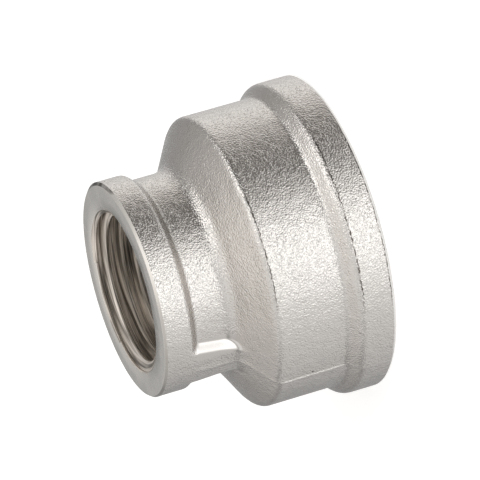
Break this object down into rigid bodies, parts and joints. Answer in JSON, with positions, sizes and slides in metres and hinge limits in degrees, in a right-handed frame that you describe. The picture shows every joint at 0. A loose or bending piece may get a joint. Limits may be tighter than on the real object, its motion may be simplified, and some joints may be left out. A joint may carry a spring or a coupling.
{
  "type": "reducing coupling",
  "caption": "Plated forged pipe coupling that joins a larger threaded pipe to a smaller one, with a band round each end, a sloping shoulder and a rib on the neck.",
  "frame": {"origin": "centre of the large end's face, on the axis", "axes": "+Z along the axis, towards the small end; the neck's rib lies on -X, and the forging's parting plane is XZ"},
  "size_m": [0.04, 0.04, 0.0278],
  "materials": {
    "plated_brass": "nickel plated over a sand-blasted forging, with turned end faces and bores"
  },
  "bodies": {
    "root": {"coupling_body": "plated_brass"}
  },
  "joints": []
}
